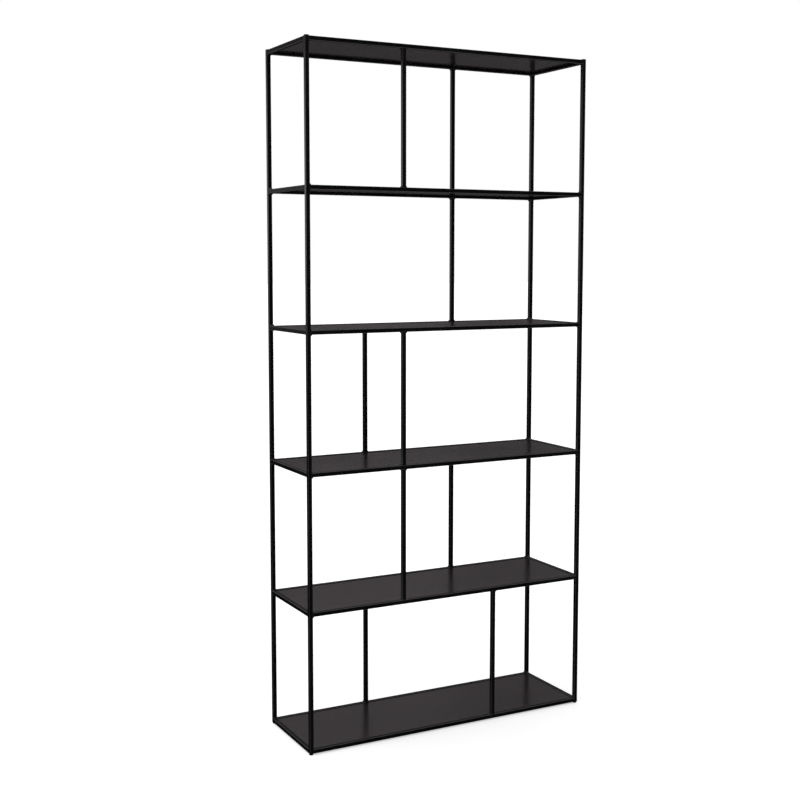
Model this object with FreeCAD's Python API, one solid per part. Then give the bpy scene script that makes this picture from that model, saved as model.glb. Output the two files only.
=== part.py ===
import FreeCAD, Part
import os

# Zigzag bookshelf: a welded frame of square steel tube with six sheet shelves.
# Millimetres, +X to the right and +Y to the back as seen from the front, +Z up.
# The origin is on the floor, below the middle of the plan.

# Frame
width = 930.0             # outside, over the posts, left to right
depth = 290.0             # outside, over the posts, front to back
shelf_pitch = 400.0       # from one shelf's top to the next
shelf_count = 6
bar = 12.0                # outside of the square tube
wall = 1.0                # wall of the square tube
tube_corner_radius = 1.0  # outside corners of the square tube

# Shelf panels
sheet = 2.0               # thickness of a shelf panel
panel_drop = 2.0          # from the rails' top down to the panel's top

# Dividers. They stand near the thirds of the width, on the front or the back rails.
# Each bay is counted from the floor up; -1 is left of the middle and +1 is right of it.
divider_spacing = 309.0   # between the left and the right divider place
divider_stagger = 6.0     # front places stand this far to the left, back places to the right
front_divider_sides = {1: 1, 2: -1, 3: -1, 5: -1}
back_divider_sides = {1: -1, 2: 1, 3: -1, 4: 1, 5: 1}

# Welds
weld_leg = 4.5            # both legs of a fillet bead
stitch_length = 25.0      # one bead under the edge of a panel
long_side_stitches = 5    # along a front or a back rail
short_side_stitches = 2   # along a side rail

# Plugs in the posts' top ends
plug_head = 2.5           # height that stands above the post
plug_edge_radius = 1.5    # rounding of the head's top
plug_depth = 12.0         # length inside the post

# Levelling feet: a screw in an insert at the post's end, with a pad that swivels on it
insert_length = 25.0
stem_radius = 2.5
stem_reach = 22.0         # length of the screw above its pad
collar_radius = 3.3       # head of the screw, held inside the pad
collar_height = 1.3
pad_radius = 6.0
pad_floor = 1.2           # pad material under the screw's head
pad_lip = 1.4             # pad material over the screw's head
pad_edge_radius = 1.0     # rounding of the pad's lower edge
running_gap = 0.05        # clearance of the turning screw, all round

bore = bar - 2 * wall
socket_height = collar_height + 2 * running_gap
pad_height = pad_floor + socket_height + pad_lip
post_bottom = pad_height
bottom_shelf_top = post_bottom + bar
post_top = bottom_shelf_top + (shelf_count - 1) * shelf_pitch
flat = bar - 2 * tube_corner_radius

X = FreeCAD.Vector(1, 0, 0)
Y = FreeCAD.Vector(0, 1, 0)
Z = FreeCAD.Vector(0, 0, 1)

post_x = (width - bar) / 2
post_y = (depth - bar) / 2
inner_x = width / 2 - bar
inner_y = depth / 2 - bar
corners = {
    "front_left": (-1, -1),
    "front_right": (1, -1),
    "back_left": (-1, 1),
    "back_right": (1, 1),
}


def shelf_top(number):
    """Height of a shelf's rails, counted from 1 at the floor."""
    return bottom_shelf_top + (number - 1) * shelf_pitch


def square_block(side, height):
    """Block that stands on the XY plane with its axis on +Z."""
    return Part.makeBox(side, side, height, FreeCAD.Vector(-side / 2, -side / 2, 0))


def rounded_block(height):
    """Block with the outside section of the tube, its long corners rounded."""
    block = square_block(bar, height)
    upright = [edge for edge in block.Edges if edge.BoundBox.ZLength > height / 2]
    return block.makeFillet(tube_corner_radius, upright)


def square_tube(length, middle, along):
    """Tube of the frame's section, centred on middle and lying along the given axis."""
    tube = rounded_block(length).cut(square_block(bore, length))
    tube.translate(Z * (-length / 2))
    tube.Placement = FreeCAD.Placement(middle, FreeCAD.Rotation(Z, along)).multiply(tube.Placement)
    return tube


def post(side_x, side_y):
    """Corner post, from the foot's pad up to the top of the highest rails."""
    middle = X * (side_x * post_x) + Y * (side_y * post_y) + Z * ((post_bottom + post_top) / 2)
    return square_tube(post_top - post_bottom, middle, Z)


def long_rail(number, side_y):
    """Front or back rail of a shelf, between two posts."""
    middle = Y * (side_y * post_y) + Z * (shelf_top(number) - bar / 2)
    return square_tube(2 * inner_x, middle, X)


def side_rail(number, side_x):
    """Left or right rail of a shelf, between two posts."""
    middle = X * (side_x * post_x) + Z * (shelf_top(number) - bar / 2)
    return square_tube(2 * inner_y, middle, Y)


def panel(number):
    """Flat sheet that fills a shelf's frame."""
    low = FreeCAD.Vector(-inner_x, -inner_y, shelf_top(number) - panel_drop - sheet)
    return Part.makeBox(2 * inner_x, 2 * inner_y, sheet, low)


def divider_x(side, side_y):
    """Place across the width of a divider on the front (-1) or back (+1) rails."""
    return side * divider_spacing / 2 + side_y * divider_stagger


def divider(bay, side, side_y):
    """Upright bar between the rails below and above a bay."""
    length = shelf_pitch - bar
    middle = Z * (shelf_top(bay) + length / 2)
    middle += X * divider_x(side, side_y) + Y * (side_y * post_y)
    return square_tube(length, middle, Z)


def bead(corner, first, second, run):
    """Fillet weld along an inside corner, with its legs on the two faces that meet there."""
    start = corner - run * 0.5
    outline = [start, start + first * weld_leg, start + second * weld_leg, start]
    return Part.Face(Part.makePolygon(outline)).extrude(run)


def rail_end_beads(number):
    """Beads above and below the rails' ends, where they meet the posts."""
    top = Z * shelf_top(number)
    faces = []
    if number < shelf_count:
        faces.append((top, Z))
    if number > 1:
        faces.append((top - Z * bar, -Z))
    beads = []
    for side_x, side_y in corners.values():
        for height, up in faces:
            long_end = height + X * (side_x * inner_x) + Y * (side_y * post_y)
            side_end = height + X * (side_x * post_x) + Y * (side_y * inner_y)
            beads.append(bead(long_end, X * -side_x, up, Y * flat))
            beads.append(bead(side_end, Y * -side_y, up, X * flat))
    return beads


def divider_beads(number):
    """Beads at the ends of the dividers that stand on a shelf or meet it from below."""
    beads = []
    for side_y, sides in ((-1, front_divider_sides), (1, back_divider_sides)):
        for bay, height, up in ((number, shelf_top(number), Z), (number - 1, shelf_top(number) - bar, -Z)):
            if bay not in sides:
                continue
            middle = X * divider_x(sides[bay], side_y) + Y * (side_y * post_y) + Z * height
            for side in (X, -X):
                beads.append(bead(middle + side * (bar / 2), side, up, Y * flat))
    return beads


def stitch_beads(number):
    """Short beads under the panel that hold its edges to the rails."""
    under = Z * (shelf_top(number) - panel_drop - sheet)
    beads = []
    for side in (-1, 1):
        for i in range(long_side_stitches):
            along = inner_x * ((2 * i + 1) / long_side_stitches - 1)
            place = under + X * along + Y * (side * inner_y)
            beads.append(bead(place, Y * -side, -Z, X * stitch_length))
        for i in range(short_side_stitches):
            along = inner_y * ((2 * i + 1) / short_side_stitches - 1)
            place = under + X * (side * inner_x) + Y * along
            beads.append(bead(place, X * -side, -Z, Y * stitch_length))
    return beads


def top_plug(side_x, side_y):
    """Plastic plug with a rounded head, pressed into the top of a post."""
    head = rounded_block(plug_head)
    rim = [edge for edge in head.Edges if edge.BoundBox.ZMin > plug_head / 2]
    head = head.makeFillet(plug_edge_radius, rim)
    spigot = square_block(bore, plug_depth)
    spigot.translate(Z * -plug_depth)
    plug = head.fuse(spigot).removeSplitter()
    plug.translate(X * (side_x * post_x) + Y * (side_y * post_y) + Z * post_top)
    return plug


def foot_insert(side_x, side_y):
    """Plastic insert with the screw's hole, pressed into the lower end of a post."""
    insert = square_block(bore, insert_length).cut(Part.makeCylinder(stem_radius + running_gap, insert_length))
    insert.translate(X * (side_x * post_x) + Y * (side_y * post_y) + Z * post_bottom)
    return insert


def foot_stem(side_x, side_y):
    """Steel screw of a foot, with the collar that its pad swivels on."""
    collar = Part.makeCylinder(collar_radius, collar_height)
    shank = Part.makeCylinder(stem_radius, collar_height + running_gap + pad_lip + stem_reach)
    stem = collar.fuse(shank).removeSplitter()
    stem.translate(X * (side_x * post_x) + Y * (side_y * post_y) + Z * (pad_floor + running_gap))
    return stem


def foot_pad(side_x, side_y):
    """Round plastic pad with the socket that snaps over the screw's collar."""
    disc = Part.makeCylinder(pad_radius, pad_height)
    lower_edge = [edge for edge in disc.Edges if edge.BoundBox.ZMax < pad_height / 2]
    disc = disc.makeFillet(pad_edge_radius, lower_edge)
    socket = Part.makeCylinder(collar_radius + running_gap, socket_height, Z * pad_floor)
    mouth = Part.makeCylinder(stem_radius + running_gap, pad_height, Z * pad_floor)
    pad = disc.cut(socket.fuse(mouth))
    pad.translate(X * (side_x * post_x) + Y * (side_y * post_y))
    return pad


def save(node, *solids):
    """Writes one node, a single solid or a group of separate solids."""
    shape = solids[0] if len(solids) == 1 else Part.makeCompound(solids)
    shape.exportStep("parts/" + node + ".step")


os.makedirs("parts", exist_ok=True)

for name, sides in corners.items():
    save(name + "_post", post(*sides))
    save(name + "_foot_stem", foot_stem(*sides))
    save(name + "_foot_pad", foot_pad(*sides))
save("post_top_plugs", *[top_plug(*sides) for sides in corners.values()])
save("foot_inserts", *[foot_insert(*sides) for sides in corners.values()])

for number in range(1, shelf_count + 1):
    shelf = "shelf_" + str(number)
    save(shelf + "_front_rail", long_rail(number, -1))
    save(shelf + "_back_rail", long_rail(number, 1))
    save(shelf + "_left_rail", side_rail(number, -1))
    save(shelf + "_right_rail", side_rail(number, 1))
    save(shelf + "_panel", panel(number))
    save(shelf + "_welds", *rail_end_beads(number), *divider_beads(number), *stitch_beads(number))

for bay, side in front_divider_sides.items():
    save("bay_" + str(bay) + "_front_divider", divider(bay, side, -1))
for bay, side in back_divider_sides.items():
    save("bay_" + str(bay) + "_back_divider", divider(bay, side, 1))
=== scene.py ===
import math
import bmesh
import bpy
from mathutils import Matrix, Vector


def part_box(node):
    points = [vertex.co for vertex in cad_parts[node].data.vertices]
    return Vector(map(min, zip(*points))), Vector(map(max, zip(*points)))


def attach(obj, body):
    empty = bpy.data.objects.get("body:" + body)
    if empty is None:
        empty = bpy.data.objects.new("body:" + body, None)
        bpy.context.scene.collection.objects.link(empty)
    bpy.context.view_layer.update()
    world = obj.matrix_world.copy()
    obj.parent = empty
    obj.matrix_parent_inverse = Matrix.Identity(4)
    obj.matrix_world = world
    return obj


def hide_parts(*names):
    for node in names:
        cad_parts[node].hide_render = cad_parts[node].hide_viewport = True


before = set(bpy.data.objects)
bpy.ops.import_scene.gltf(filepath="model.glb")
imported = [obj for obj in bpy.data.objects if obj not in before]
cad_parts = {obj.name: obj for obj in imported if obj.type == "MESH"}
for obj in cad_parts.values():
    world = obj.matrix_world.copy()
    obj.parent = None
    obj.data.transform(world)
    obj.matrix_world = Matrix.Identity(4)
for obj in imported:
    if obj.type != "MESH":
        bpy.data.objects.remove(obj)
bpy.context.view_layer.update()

# Corner posts
# Four full-height uprights of 12 mm square steel tube with drawn, slightly rounded corners.
# They are cut to length, welded to the rails and powder coated in satin black.
CORNERS = ("front_left", "front_right", "back_left", "back_right")
TUBE_WALL = 0.001
TUBE_CORNER = 0.001
BORE_CORNER = 0.0002
CORNER_STEPS = 5
SHARP_ANGLE = math.radians(40)
NOISE_MEAN = 0.5
PEEL_SCALE = 1100.0
PEEL_STRENGTH = 0.35
FLECK_SCALE = 2600.0
SPECK_SHARPNESS = 6.0
SPECK_GAIN = 2.0
CLOUD_SCALE = 9.0


class Shade:
    """Wraps a socket of a node tree, so that shader maths is written as arithmetic."""

    def __init__(self, tree, socket=None):
        self.tree = tree
        self.socket = socket

    def node(self, kind, settings=None, sockets=None, output=0):
        """Adds a node, with its settings first and then the values or links of its sockets."""
        made = self.tree.nodes.new(kind)
        for key, value in (settings or {}).items():
            setattr(made, key, value)
        for key, value in (sockets or {}).items():
            if isinstance(value, Shade):
                self.tree.links.new(value.socket, made.inputs[key])
            else:
                made.inputs[key].default_value = value
        return Shade(self.tree, made.outputs[output] if made.outputs else None)

    def maths(self, operation, first, second):
        return self.node("ShaderNodeMath", {"operation": operation}, {0: first, 1: second})

    def mix(self, first, second):
        """A colour between two, by this value."""
        return self.node("ShaderNodeMix", {"data_type": "RGBA"}, {0: self, 6: first, 7: second}, 2)

    def __add__(self, other):
        return self.maths("ADD", self, other)

    def __sub__(self, other):
        return self.maths("SUBTRACT", self, other)

    def __rsub__(self, other):
        return self.maths("SUBTRACT", other, self)

    def __mul__(self, other):
        return self.maths("MULTIPLY", self, other)

    def __pow__(self, other):
        return self.maths("POWER", self, other)

    __radd__ = __add__
    __rmul__ = __mul__


def new_finish(name):
    """An empty node material, and the place where its shading starts."""
    material = bpy.data.materials.new(name)
    material.use_nodes = True
    material.node_tree.nodes.clear()
    return material, Shade(material.node_tree)


def noise(start, place, scale, detail=2.0, roughness=0.5):
    """Fractal noise with about scale grains to the metre."""
    sockets = {"Vector": place, "Scale": scale, "Detail": detail, "Roughness": roughness}
    return start.node("ShaderNodeTexNoise", {}, sockets)


def specks(fleck):
    """The brightest flecks alone."""
    return (fleck ** SPECK_SHARPNESS) * SPECK_GAIN


def powder_coat(name, colour, highlight_wear_and_fleck_colour, roughness, specular, peel):
    """Satin powder coat: orange peel in the surface, cloudy gloss, and a paler colour along the rounded
    edges that is partly edge wear and partly a painted highlight.
    """
    material, start = new_finish(name)
    place = start.node("ShaderNodeTexCoord", output="Object")
    grain = noise(start, place, PEEL_SCALE)
    cloud = noise(start, place, CLOUD_SCALE, detail=4.0, roughness=0.6)
    fleck = noise(start, place, FLECK_SCALE, detail=1.0)
    edge = start.node("ShaderNodeAttribute", {"attribute_name": "edge"}, output="Fac")
    # The edge mask paints a paler colour along the rounded corners: a painted highlight, with some edge
    # wear in it; flecks and cloud add random tone.
    edge_highlight_and_wear = edge * (0.35 + 0.65 * cloud)
    highlight_wear_and_flecks = 0.9 * edge_highlight_and_wear + 0.1 * specks(fleck) + 0.08 * (cloud - NOISE_MEAN)
    bump = start.node("ShaderNodeBump", {}, {
        "Strength": PEEL_STRENGTH,
        "Distance": peel,
        "Height": grain + 0.35 * fleck,
    })
    shader = start.node("ShaderNodeBsdfPrincipled", {}, {
        "Base Color": highlight_wear_and_flecks.mix(colour, highlight_wear_and_fleck_colour),
        "Roughness": roughness + 0.14 * (cloud - NOISE_MEAN) + 0.06 * (fleck - NOISE_MEAN) + 0.12 * edge_highlight_and_wear,
        "Specular IOR Level": specular,
        "Normal": bump,
    })
    start.node("ShaderNodeOutputMaterial", {}, {"Surface": shader})
    return material


def new_piece(name, vertices, faces, material, body, nodes, edge=None):
    """A closed mesh with soft rounded corners that stands for CAD nodes and moves with their body."""
    mesh = bpy.data.meshes.new(name)
    mesh.from_pydata(vertices, [], faces)
    mesh.materials.append(material)
    if edge:
        mesh.attributes.new("edge", "FLOAT", "POINT").data.foreach_set("value", edge)
    mesh.shade_smooth()
    mesh.set_sharp_from_angle(angle=SHARP_ANGLE)
    piece = bpy.data.objects.new(name, mesh)
    bpy.context.scene.collection.objects.link(piece)
    normals = piece.modifiers.new("flat_faces_stay_flat", "WEIGHTED_NORMAL")
    normals.keep_sharp = True
    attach(piece, body)
    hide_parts(*nodes)


def rounded_square(half, radius):
    """Points round a square with rounded corners, and how far into a corner each one lies."""
    points = []
    depths = []
    reach = (half - radius) * math.sqrt(2)
    for corner in range(4):
        middle = math.radians(90 * corner + 45)
        for step in range(CORNER_STEPS + 1):
            share = step / CORNER_STEPS
            angle = math.radians(90 * (corner + share))
            points.append((reach * math.cos(middle) + radius * math.cos(angle),
                           reach * math.sin(middle) + radius * math.sin(angle)))
            depths.append(math.sin(math.pi * share))
    return points, depths


def tube_mesh(low, high):
    """Square tube that fills a box, open through its length: vertices, faces and edge depths."""
    size = high - low
    along = max(range(3), key=lambda axis: size[axis])
    across, over = (along + 1) % 3, (along + 2) % 3
    middle = (low + high) / 2
    half = size[across] / 2
    outer, depths = rounded_square(half, TUBE_CORNER)
    inner, _ = rounded_square(half - TUBE_WALL, BORE_CORNER)
    count = len(outer)
    vertices = []
    for end in (low, high):
        for u, v in outer + inner:
            point = Vector()
            point[along] = end[along]
            point[across] = middle[across] + u
            point[over] = middle[over] + v
            vertices.append(point)
    faces = []
    for i in range(count):
        j = (i + 1) % count
        near_out, near_out_next = i, j
        near_in, near_in_next = count + i, count + j
        far_out, far_out_next = 2 * count + i, 2 * count + j
        far_in, far_in_next = 3 * count + i, 3 * count + j
        faces.append((near_out, near_out_next, far_out_next, far_out))
        faces.append((near_in_next, near_in, far_in, far_in_next))
        faces.append((near_out, near_in, near_in_next, near_out_next))
        faces.append((far_out, far_out_next, far_in_next, far_in))
    return vertices, faces, (depths + [0.0] * count) * 2


def tube_piece(node, finish):
    """One cut length of the frame's tube."""
    vertices, faces, edge = tube_mesh(*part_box(node))
    new_piece(node + ".tube", vertices, faces, finish, "frame", [node], edge)


# The paler edge colour on posts and dividers is a painted highlight along their rounded corners, with some
# edge wear.
tube_black = powder_coat(
    "satin_black_tube",
    colour=(0.004, 0.004, 0.004, 1),
    highlight_wear_and_fleck_colour=(0.09, 0.088, 0.088, 1),
    roughness=0.28,
    specular=0.35,
    peel=0.00002,
)
for corner in CORNERS:
    tube_piece(corner + "_post", tube_black)

# Shelf rails
# Each shelf has a frame of four lengths of the same tube, cut square and butted between the posts.
# Their outer faces lie flush with the posts. Their coat is a darker, duller copy of the posts' coat, which
# is painted shade, and their edges carry a much paler painted highlight.
SHELVES = range(1, 7)
RAIL_SIDES = ("front", "back", "left", "right")

# Painted shade and highlight: a darker, duller copy of the posts' coat, with a much paler painted highlight
# along the rails' rounded edges.
rail_black_shaded_edge_lit = powder_coat(
    "satin_black_rail_shaded_edge_lit",
    colour=(0.003, 0.003, 0.003, 1),
    highlight_wear_and_fleck_colour=(0.22, 0.214, 0.214, 1),
    roughness=0.42,
    specular=0.08,
    peel=0.00002,
)
for shelf in SHELVES:
    for side in RAIL_SIDES:
        tube_piece(f"shelf_{shelf}_{side}_rail", rail_black_shaded_edge_lit)

# Dividers
# Short lengths of tube that stand between two shelves on the front or the back rails.
# They change sides on the way up the shelf, which gives it its zigzag.
DIVIDERS = [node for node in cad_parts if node.endswith("_divider")]

for node in DIVIDERS:
    tube_piece(node, tube_black)

# Shelf panels
# Flat sheets of 2 mm steel, sheared to fit inside the rails and dropped a little below their top.
# The powder coat lies thicker and smoother on them, and wiping has left faint streaks in its gloss.
SHEET_EDGE = 0.0005
SHEET_EDGE_STEPS = 3
SHEET_DARK = (0.0163, 0.0122, 0.0136, 1)
SHEET_PALE = (0.0263, 0.0202, 0.0222, 1)
SHEET_ROUGHNESS = 0.22
SHEET_SPECULAR = 0.35
SHEET_CLOUD_SCALE = 6.0
SHEET_FLECK_SCALE = 2400.0
SHEET_PEEL_SCALE = 900.0
SHEET_PEEL_STRENGTH = 0.3
SHEET_PEEL_HEIGHT = 0.00004
STREAK_STRETCH = (3.0, 40.0, 1.0)
STREAK_SCALE = 1.6
WAVE_SCALE = 7.0
WAVE_STRENGTH = 0.3
WAVE_HEIGHT = 0.0006


def sheet_coat(name):
    """Powder coat on sheet, with long wiping streaks in the gloss and a slight wave in the metal."""
    material, start = new_finish(name)
    place = start.node("ShaderNodeTexCoord", output="Object")
    stretched = start.node("ShaderNodeMapping", {}, {"Vector": place, "Scale": STREAK_STRETCH})
    streak = noise(start, stretched, STREAK_SCALE, detail=5.0, roughness=0.62)
    cloud = noise(start, place, SHEET_CLOUD_SCALE, detail=4.0, roughness=0.6)
    grain = noise(start, place, SHEET_PEEL_SCALE)
    fleck = noise(start, place, SHEET_FLECK_SCALE, detail=1.0)
    tint = 0.5 * cloud + 0.3 * streak + 0.3 * specks(fleck)
    swell = start.node("ShaderNodeBump", {}, {
        "Strength": WAVE_STRENGTH,
        "Distance": WAVE_HEIGHT,
        "Height": noise(start, place, WAVE_SCALE, detail=1.0),
    })
    peel = start.node("ShaderNodeBump", {}, {
        "Strength": SHEET_PEEL_STRENGTH,
        "Distance": SHEET_PEEL_HEIGHT,
        "Height": grain + 0.3 * fleck,
        "Normal": swell,
    })
    shader = start.node("ShaderNodeBsdfPrincipled", {}, {
        "Base Color": tint.mix(SHEET_DARK, SHEET_PALE),
        "Roughness": SHEET_ROUGHNESS + 0.12 * (streak - NOISE_MEAN) + 0.08 * (cloud - NOISE_MEAN),
        "Specular IOR Level": SHEET_SPECULAR,
        "Normal": peel,
    })
    start.node("ShaderNodeOutputMaterial", {}, {"Surface": shader})
    return material


def sheet_mesh(low, high):
    """Sheet with its sheared edges broken: vertices and faces."""
    form = bmesh.new()
    bmesh.ops.create_cube(form, size=1.0)
    for vertex in form.verts:
        for axis in range(3):
            vertex.co[axis] = high[axis] if vertex.co[axis] > 0 else low[axis]
    bmesh.ops.bevel(form, geom=form.edges[:], offset=SHEET_EDGE, segments=SHEET_EDGE_STEPS,
                    profile=0.5, affect="EDGES")
    form.verts.index_update()
    vertices = [vertex.co.copy() for vertex in form.verts]
    faces = [[vertex.index for vertex in face.verts] for face in form.faces]
    form.free()
    return vertices, faces


sheet_black = sheet_coat("satin_black_sheet")
for shelf in SHELVES:
    node = f"shelf_{shelf}_panel"
    vertices, faces = sheet_mesh(*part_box(node))
    new_piece(node + ".sheet", vertices, faces, sheet_black, "frame", [node])

# Welds
# Small fillet beads where rails meet posts and dividers meet rails, and short stitches under the panels.
# Each was run by hand, so its surface is a row of overlapping ripples, coated with the rest.
BEAD_LEG = 0.0045
BEAD_BULGE = 1.6
BEAD_FACETS = 6
BEAD_END = 0.0012
BEAD_END_SIZE = 0.6
RIPPLE = 0.0013
RIPPLE_STEPS = 5
RIPPLE_DEPTH = 0.16
STITCH = 0.025
LONG_STITCHES = 5
SHORT_STITCHES = 2
X = Vector((1, 0, 0))
Y = Vector((0, 1, 0))
Z = Vector((0, 0, 1))


def loft(rings):
    """Closed skin through rings of like points, the first and last of them capped: vertices and faces."""
    count = len(rings[0])
    vertices = [point for ring in rings for point in ring]
    faces = []
    for level in range(len(rings) - 1):
        for i in range(count):
            j = (i + 1) % count
            here, there = level * count, (level + 1) * count
            faces.append((here + i, here + j, there + j, there + i))
    faces.append(tuple(range(count))[::-1])
    last = (len(rings) - 1) * count
    faces.append(tuple(last + i for i in range(count)))
    return vertices, faces


def bead_mesh(corner, first, second, run):
    """Rippled bead along an inside corner, with a leg on each of the two faces: vertices and faces."""
    steps = round(run.length / RIPPLE) * RIPPLE_STEPS
    rings = []
    for step in range(steps + 1):
        share = step / steps
        from_end = min(share, 1 - share) * run.length
        fullness = math.sin(min(1.0, from_end / BEAD_END) * math.pi / 2)
        reach = BEAD_LEG * (BEAD_END_SIZE + (1 - BEAD_END_SIZE) * fullness)
        ripple = 1 - RIPPLE_DEPTH * ((step % RIPPLE_STEPS) / RIPPLE_STEPS) ** 2
        root = corner + run * (share - 0.5)
        ring = [root]
        for facet in range(BEAD_FACETS + 1):
            angle = math.pi / 2 * facet / BEAD_FACETS
            lift = ripple if 0 < facet < BEAD_FACETS else 1.0
            ring.append(root + first * (reach * lift * math.cos(angle) ** BEAD_BULGE)
                        + second * (reach * lift * math.sin(angle) ** BEAD_BULGE))
        rings.append(ring)
    vertices, faces = loft(rings)
    if first.cross(second).dot(run) < 0:
        faces = [face[::-1] for face in faces]
    return vertices, faces


def rail_corners(shelf):
    """Inside corners above and below the ends of a shelf's rails."""
    found = []
    for side in RAIL_SIDES:
        low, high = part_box(f"shelf_{shelf}_{side}_rail")
        along, across = (X, Y) if side in ("front", "back") else (Y, X)
        middle = (low + high) / 2
        flat = (high.z - low.z) - 2 * TUBE_CORNER
        half = along * ((high - low).dot(along) / 2)
        for end, inward in ((middle - half, along), (middle + half, -along)):
            if shelf < SHELVES[-1]:
                found.append((Vector((end.x, end.y, high.z)), inward, Z, across * flat))
            if shelf > SHELVES[0]:
                found.append((Vector((end.x, end.y, low.z)), inward, -Z, across * flat))
    return found


def divider_corners(shelf):
    """Inside corners at the ends of the dividers that stand on a shelf or meet it from below."""
    found = []
    for node in DIVIDERS:
        low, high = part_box(node)
        bay = int(node.split("_")[1])
        middle = (low + high) / 2
        flat = (high.y - low.y) - 2 * TUBE_CORNER
        if bay == shelf:
            height, up = low.z, Z
        elif bay == shelf - 1:
            height, up = high.z, -Z
        else:
            continue
        found.append((Vector((high.x, middle.y, height)), X, up, Y * flat))
        found.append((Vector((low.x, middle.y, height)), -X, up, Y * flat))
    return found


def stitch_corners(shelf):
    """Inside corners under the panel's edges, at even steps along the rails."""
    low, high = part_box(f"shelf_{shelf}_panel")
    found = []
    for i in range(LONG_STITCHES):
        x = low.x + (high.x - low.x) * (i + 0.5) / LONG_STITCHES
        found.append((Vector((x, low.y, low.z)), Y, -Z, X * STITCH))
        found.append((Vector((x, high.y, low.z)), -Y, -Z, X * STITCH))
    for i in range(SHORT_STITCHES):
        y = low.y + (high.y - low.y) * (i + 0.5) / SHORT_STITCHES
        found.append((Vector((low.x, y, low.z)), X, -Z, Y * STITCH))
        found.append((Vector((high.x, y, low.z)), -X, -Z, Y * STITCH))
    return found


def joined(meshes):
    """Several closed meshes put together as one: vertices and faces."""
    vertices, faces = [], []
    for more_vertices, more_faces in meshes:
        faces += [tuple(len(vertices) + i for i in face) for face in more_faces]
        vertices += more_vertices
    return vertices, faces


weld_black = powder_coat(
    "satin_black_weld",
    colour=(0.008, 0.008, 0.0085, 1),
    highlight_wear_and_fleck_colour=(0.03, 0.03, 0.031, 1),
    roughness=0.3,
    specular=0.35,
    peel=0.00008,
)
for shelf in SHELVES:
    node = f"shelf_{shelf}_welds"
    seams = rail_corners(shelf) + divider_corners(shelf) + stitch_corners(shelf)
    vertices, faces = joined([bead_mesh(*seam) for seam in seams])
    new_piece(node + ".beads", vertices, faces, weld_black, "frame", [node])

# Top plugs
# Moulded plastic plugs pressed into the posts' top ends, with a low rounded head as wide as the tube.
# The mould leaves a fine matt grain on the head.
PLUG_EDGE = 0.0015
PLUG_STEPS = 6
PLASTIC_ROUGHNESS = 0.62
PLASTIC_SPECULAR = 0.35
MOULD_GRAIN_STRENGTH = 0.5
MOULD_GRAIN_HEIGHT = 0.00005
RUB_SCALE = 120.0
RUBBED_PALENESS = 2.2


def moulded_plastic(name, colour, grain_scale):
    """Black plastic with the fine matt grain of a spark-eroded mould and slightly polished high spots."""
    material, start = new_finish(name)
    place = start.node("ShaderNodeTexCoord", output="Object")
    grain = noise(start, place, grain_scale, detail=3.0, roughness=0.6)
    rub = noise(start, place, RUB_SCALE)
    rubbed_colour = tuple(RUBBED_PALENESS * part for part in colour[:3]) + (1,)
    bump = start.node("ShaderNodeBump", {}, {
        "Strength": MOULD_GRAIN_STRENGTH,
        "Distance": MOULD_GRAIN_HEIGHT,
        "Height": grain,
    })
    shader = start.node("ShaderNodeBsdfPrincipled", {}, {
        "Base Color": (0.6 * grain + 0.4 * rub).mix(colour, rubbed_colour),
        "Roughness": PLASTIC_ROUGHNESS - 0.2 * (rub - NOISE_MEAN),
        "Specular IOR Level": PLASTIC_SPECULAR,
        "Normal": bump,
    })
    start.node("ShaderNodeOutputMaterial", {}, {"Surface": shader})
    return material


def plug_mesh(post, plugs_low, plugs_high):
    """One plug: its square spigot inside the tube and its rounded head above it."""
    low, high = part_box(post)
    middle = (low + high) / 2
    half = (high.x - low.x) / 2
    spigot = half - TUBE_WALL
    outline = [
        (spigot, BORE_CORNER, plugs_low.z),
        (spigot, BORE_CORNER, high.z),
        (half, TUBE_CORNER, high.z),
    ]
    shoulder = plugs_high.z - PLUG_EDGE
    for step in range(PLUG_STEPS + 1):
        angle = math.pi / 2 * step / PLUG_STEPS
        inset = PLUG_EDGE * (1 - math.cos(angle))
        outline.append((half - inset, TUBE_CORNER, shoulder + PLUG_EDGE * math.sin(angle)))
    rings = []
    for reach, radius, z in outline:
        points, _ = rounded_square(reach, radius)
        rings.append([Vector((middle.x + u, middle.y + v, z)) for u, v in points])
    return loft(rings)


plug_plastic = moulded_plastic("black_plug_plastic", colour=(0.006, 0.006, 0.0062, 1), grain_scale=2200.0)
node = "post_top_plugs"
vertices, faces = joined([plug_mesh(corner + "_post", *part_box(node)) for corner in CORNERS])
new_piece(node + ".heads", vertices, faces, plug_plastic, "frame", [node])

# Foot inserts
# Square plastic sleeves pressed into the posts' lower ends, with the thread that a foot's screw runs in.
# They are the CAD solids in the plugs' plastic.
insert_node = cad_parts["foot_inserts"]
insert_node.data.materials.clear()
insert_node.data.materials.append(plug_plastic)

# Foot screws
# Zinc-plated steel screws with an M5 thread and a flat collar at the bottom, which the pad swivels on.
# Turning one raises or lowers its corner of the shelf.
STEM_RADIUS = 0.0025
THREAD_PITCH = 0.0008
THREAD_DEPTH = 0.0004
THREAD_SIDES = 28
THREAD_STEPS = 8
RUN_OUT_SHARE = 0.125
LEAD_IN_SHARE = 0.05
COLLAR_RADIUS = 0.0033
COLLAR_HEIGHT = 0.0013
ZINC_BLUE = (0.42, 0.44, 0.47, 1)
ZINC_PALE = (0.6, 0.6, 0.6, 1)
ZINC_ROUGHNESS = 0.3
STAIN_SCALE = 150.0
TURNING_STRETCH = (1.0, 1.0, 30.0)
TURNING_SCALE = 400.0
TURNING_STRENGTH = 0.3
TURNING_HEIGHT = 0.00003


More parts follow.
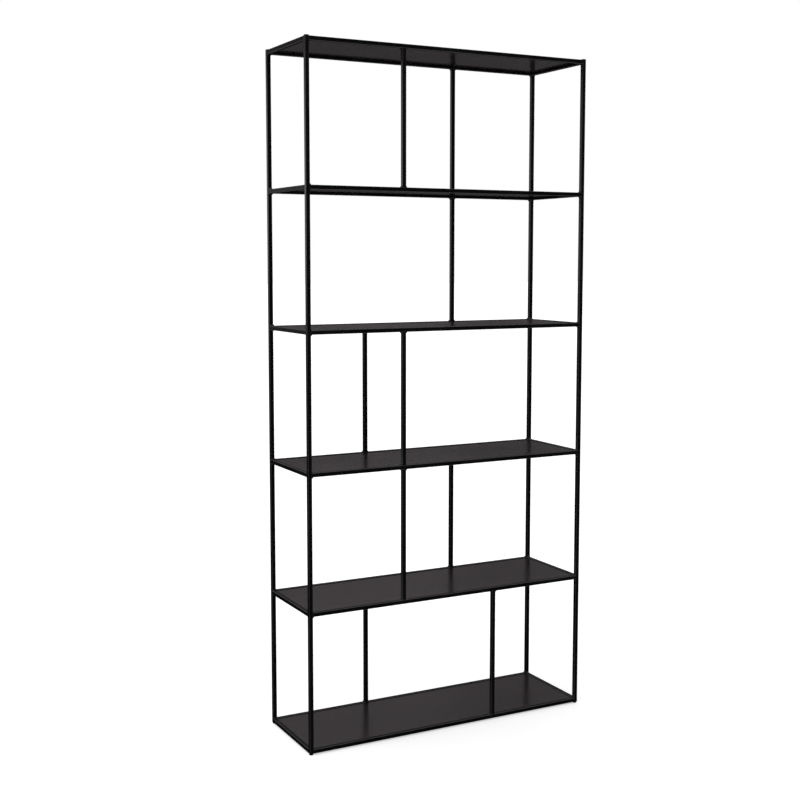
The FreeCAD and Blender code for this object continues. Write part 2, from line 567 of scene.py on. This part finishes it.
def zinc_plate(name):
    """Bright zinc plating with fine turning lines and a faint blue cast."""
    material, start = new_finish(name)
    place = start.node("ShaderNodeTexCoord", output="Object")
    stretched = start.node("ShaderNodeMapping", {}, {"Vector": place, "Scale": TURNING_STRETCH})
    lines = noise(start, stretched, TURNING_SCALE, detail=3.0)
    stain = noise(start, place, STAIN_SCALE, detail=3.0)
    bump = start.node("ShaderNodeBump", {}, {
        "Strength": TURNING_STRENGTH,
        "Distance": TURNING_HEIGHT,
        "Height": lines,
    })
    shader = start.node("ShaderNodeBsdfPrincipled", {}, {
        "Base Color": stain.mix(ZINC_BLUE, ZINC_PALE),
        "Metallic": 1.0,
        "Roughness": ZINC_ROUGHNESS + 0.2 * (stain - NOISE_MEAN) + 0.1 * (lines - NOISE_MEAN),
        "Normal": bump,
    })
    start.node("ShaderNodeOutputMaterial", {}, {"Surface": shader})
    return material


def level_ring(middle, z, radii):
    """Points round an upright axis at one height, at even angles and each at its own radius."""
    points = []
    for i, radius in enumerate(radii):
        angle = 2 * math.pi * i / len(radii)
        points.append(Vector((middle.x + radius * math.cos(angle), middle.y + radius * math.sin(angle), z)))
    return points


def screw_mesh(low, high):
    """Collar and threaded shank of a foot's screw, the thread shallower near both ends."""
    middle = (low + high) / 2
    shank = low.z + COLLAR_HEIGHT
    rings = [level_ring(middle, z, [COLLAR_RADIUS] * THREAD_SIDES) for z in (low.z, shank)]
    steps = round((high.z - shank) / THREAD_PITCH * THREAD_STEPS)
    for step in range(steps + 1):
        share = step / steps
        z = shank + (high.z - shank) * share
        depth = THREAD_DEPTH * min(1.0, share / RUN_OUT_SHARE, (1 - share) / LEAD_IN_SHARE)
        turns = (z - shank) / THREAD_PITCH
        grooves = [abs(2 * ((turns - i / THREAD_SIDES) % 1.0) - 1) for i in range(THREAD_SIDES)]
        rings.append(level_ring(middle, z, [STEM_RADIUS - depth * groove for groove in grooves]))
    return loft(rings)


screw_zinc = zinc_plate("zinc_plated_screw")
for corner in CORNERS:
    node = corner + "_foot_stem"
    vertices, faces = screw_mesh(*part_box(node))
    new_piece(node + ".screw", vertices, faces, screw_zinc, corner + "_stem", [node])

# Foot pads
# Round plastic pads that the shelf stands on, with a rounded lower edge.
# Each has a socket that snaps over its screw's collar, so that it stays still while the screw turns.
PAD_EDGE = 0.001
PAD_STEPS = 5
PAD_SIDES = 48
PAD_FLOOR = 0.0012
RUNNING_GAP = 0.00005


def pad_mesh(low, high):
    """Pad turned about its axis: outside, mouth and socket."""
    middle = (low + high) / 2
    radius = (high.x - low.x) / 2
    outline = []
    for step in range(PAD_STEPS + 1):
        angle = math.pi / 2 * step / PAD_STEPS
        inset = PAD_EDGE * (1 - math.sin(angle))
        outline.append((radius - inset, low.z + PAD_EDGE * (1 - math.cos(angle))))
    socket_floor = low.z + PAD_FLOOR
    socket_top = socket_floor + COLLAR_HEIGHT + 2 * RUNNING_GAP
    mouth = STEM_RADIUS + RUNNING_GAP
    socket = COLLAR_RADIUS + RUNNING_GAP
    outline += [(radius, high.z), (mouth, high.z)]
    outline += [(mouth, socket_top), (socket, socket_top), (socket, socket_floor)]
    return loft([level_ring(middle, z, [reach] * PAD_SIDES) for reach, z in outline])


pad_plastic = moulded_plastic("black_pad_plastic", colour=(0.009, 0.009, 0.0092, 1), grain_scale=1600.0)
for corner in CORNERS:
    node = corner + "_foot_pad"
    vertices, faces = pad_mesh(*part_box(node))
    new_piece(node + ".pad", vertices, faces, pad_plastic, corner + "_pad", [node])

# Floor and backdrop
# A plain white studio floor that keeps the shelf's soft shadow, under a white background.
# Both are brighter where they are seen or mirrored than in the light that they throw on the shelf.
FLOOR_HALF = 60.0
FLOOR_COLOUR = (0.86, 0.86, 0.86, 1)
FLOOR_LIFT = 0.5
SKY_COLOUR = (1, 1, 1, 1)
AMBIENT = 0.55


def seen_directly(start):
    """1 on rays that show the background: from the camera, off a glossy surface or through a clear one."""
    shown = start.node("ShaderNodeLightPath", output="Is Camera Ray")
    for kind in ("Is Glossy Ray", "Is Transmission Ray"):
        shown = shown.maths("MAXIMUM", shown, start.node("ShaderNodeLightPath", output=kind))
    return shown


def sheet_of_stage(name, points, material):
    """A flat piece of the studio that isn't part of the shelf."""
    mesh = bpy.data.meshes.new(name)
    mesh.from_pydata(points, [], [tuple(range(len(points)))])
    mesh.materials.append(material)
    item = bpy.data.objects.new(name, mesh)
    bpy.context.scene.collection.objects.link(item)
    return item


def lying(x_low, y_low, z):
    """Corners of a level sheet that reaches out to the floor's back right corner."""
    return [(x_low, y_low, z), (FLOOR_HALF, y_low, z), (FLOOR_HALF, FLOOR_HALF, z), (x_low, FLOOR_HALF, z)]


floor_paint, start = new_finish("studio_floor")
lit = start.node("ShaderNodeBsdfDiffuse", {}, {"Color": FLOOR_COLOUR})
lift = start.node("ShaderNodeEmission", {}, {"Strength": seen_directly(start) * FLOOR_LIFT})
both = start.node("ShaderNodeAddShader", {}, {0: lit, 1: lift})
start.node("ShaderNodeOutputMaterial", {}, {"Surface": both})
sheet_of_stage("floor", lying(-FLOOR_HALF, -FLOOR_HALF, 0.0), floor_paint)

world = bpy.data.worlds.new("studio")
world.use_nodes = True
world.node_tree.nodes.clear()
start = Shade(world.node_tree)
strength = AMBIENT + (1 - AMBIENT) * seen_directly(start)
sky = start.node("ShaderNodeBackground", {}, {"Color": SKY_COLOUR, "Strength": strength})
start.node("ShaderNodeOutputWorld", {}, {"Surface": sky})
bpy.context.scene.world = world

# Lights and curtains
# One broad soft light overhead. Curtains and cloths, which only reflections see, keep the paint black.
# The panels mirror paler curtains at the back right, and the dividers before them as dark streaks.
# The posts mirror the white background, through a low window at the back left.
SUN_STRENGTH = 1.0
SUN_ANGLE = math.radians(50)
SUN_FROM = Vector((-0.2, 0.1, 1.0))
STUDIO_HALF = 8.0
CURTAIN_HALF = 20.0
CURTAIN_TOP = 7.0
BACK_HEM = 0.7
BACK_SPLIT = 2.55
BACK_EDGE = 4.8
WINDOW_TOP = 3.2
WINDOW_EDGE = -0.5
CLOTH_EDGE = 0.5
CLOTH_LIFT = 0.0005
CURTAIN_COLOUR = (1.0, 0.92, 0.945, 1)
DARK_GREY = 0.0
LEFT_GREY = 0.08
LOW_GREY = 0.02
BACK_GREY = 0.31
RIGHT_GREY = 0.22
CLOTH_GREY = 0.12

sun = bpy.data.lights.new("soft_top_light", "SUN")
sun.energy = SUN_STRENGTH
sun.angle = SUN_ANGLE
lamp = bpy.data.objects.new("soft_top_light", sun)
lamp.rotation_euler = SUN_FROM.to_track_quat("Z", "Y").to_euler()
bpy.context.scene.collection.objects.link(lamp)


def curtain(name, points, grey):
    """Cloth that shows in reflections and nowhere else."""
    cloth, start = new_finish(name + "_cloth")
    glow = start.node("ShaderNodeEmission", {}, {"Color": CURTAIN_COLOUR, "Strength": grey})
    start.node("ShaderNodeOutputMaterial", {}, {"Surface": glow})
    hung = sheet_of_stage(name, points, cloth)
    hung.visible_camera = False
    hung.visible_diffuse = False
    hung.visible_shadow = False


def hanging(left, right, hem, top=CURTAIN_TOP):
    """Corners of a curtain that hangs between two places of the plan, from its top down to its hem."""
    return [(*left, hem), (*right, hem), (*right, top), (*left, top)]


near = -STUDIO_HALF
far = STUDIO_HALF
curtain("front_curtain", hanging((-CURTAIN_HALF, near), (CURTAIN_HALF, near), 0.0), DARK_GREY)
curtain("left_curtain", hanging((near, near), (near, far), 0.0), LEFT_GREY)
curtain("back_curtain", hanging((WINDOW_EDGE, far), (BACK_EDGE, far), BACK_SPLIT), BACK_GREY)
curtain("right_curtain", hanging((BACK_EDGE, far), (CURTAIN_HALF, far), BACK_SPLIT), RIGHT_GREY)
curtain("low_curtain", hanging((WINDOW_EDGE, far), (CURTAIN_HALF, far), BACK_HEM, BACK_SPLIT), LOW_GREY)
curtain("window_blind", hanging((-CURTAIN_HALF, far), (WINDOW_EDGE, far), WINDOW_TOP), DARK_GREY)
curtain("floor_cloth", lying(-FLOOR_HALF, -FLOOR_HALF, CLOTH_LIFT), DARK_GREY)
curtain("back_cloth", lying(CLOTH_EDGE, CLOTH_EDGE, 2 * CLOTH_LIFT), CLOTH_GREY)

# Camera
# It stands to the left of the shelf's front at about eye height, and looks slightly down.
# A small shift of its lens sets the shelf's place in the height of the picture.
VIEW_AZIMUTH = math.radians(27.717)
VIEW_PITCH = math.radians(5.558)
VIEW_DISTANCE = 3.7778
VIEW_TARGET = Vector((-0.09894, 0.0, 1.05002))
VIEW_LENS = 56.42
VIEW_SENSOR = 36.0
VIEW_SHIFT = -0.025

back = Vector((-math.sin(VIEW_AZIMUTH) * math.cos(VIEW_PITCH),
               -math.cos(VIEW_AZIMUTH) * math.cos(VIEW_PITCH),
               math.sin(VIEW_PITCH)))
lens = bpy.data.cameras.new("camera")
lens.lens = VIEW_LENS
lens.sensor_width = VIEW_SENSOR
lens.shift_y = VIEW_SHIFT
camera = bpy.data.objects.new("camera", lens)
camera.location = VIEW_TARGET + back * VIEW_DISTANCE
camera.rotation_euler = back.to_track_quat("Z", "Y").to_euler()
bpy.context.scene.collection.objects.link(camera)
bpy.context.scene.camera = camera
bpy.context.scene.view_settings.view_transform = "Standard"
